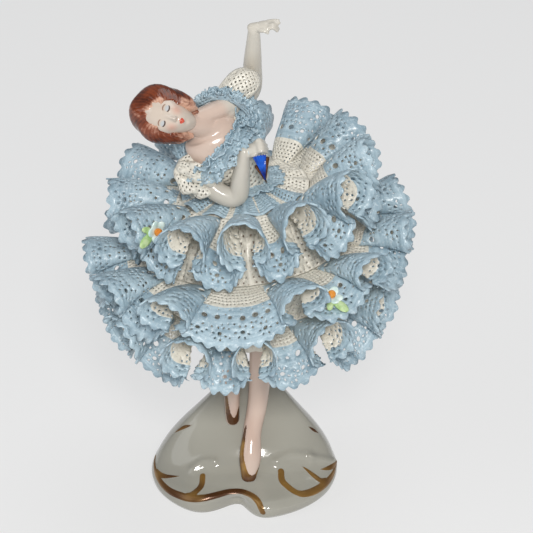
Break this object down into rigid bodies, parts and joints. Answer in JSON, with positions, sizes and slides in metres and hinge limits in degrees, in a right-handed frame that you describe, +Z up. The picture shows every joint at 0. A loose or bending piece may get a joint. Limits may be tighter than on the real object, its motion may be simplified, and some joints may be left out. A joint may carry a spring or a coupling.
{
  "type": "dresden lace figurine",
  "caption": "Porcelain dancer leaning to one side in a tiered skirt of gathered porcelain lace, standing on a scrolled rocky base.",
  "frame": {"origin": "middle of the base's round footprint, on the flat underside that it stands on", "axes": "+Z up, -Y the way the dancer faces, +X towards her left side"},
  "size_m": [0.1034, 0.1034, 0.1611],
  "materials": {
    "base_porcelain": "glossy off-white glaze with gilded scrolls",
    "painted_porcelain": "glossy glaze over painted skin, hair and shoes",
    "blue_lace": "pale blue fired lace with a soft sheen",
    "cream_net": "cream fired net with a soft sheen",
    "cobalt_fan": "glossy cobalt blue with gilded edges",
    "painted_flower": "glossy orange, aqua and green"
  },
  "bodies": {
    "root": {"base": "base_porcelain", "dancer": "painted_porcelain", "bodice": "blue_lace", "sleeve_left": "cream_net", "sleeve_right": "cream_net", "fan": "cobalt_fan", "underskirt": "cream_net", "flounce_upper": "blue_lace", "flounce_middle": "blue_lace", "flounce_lower": "blue_lace", "flower_left": "painted_flower", "flower_right": "painted_flower"}
  },
  "joints": []
}
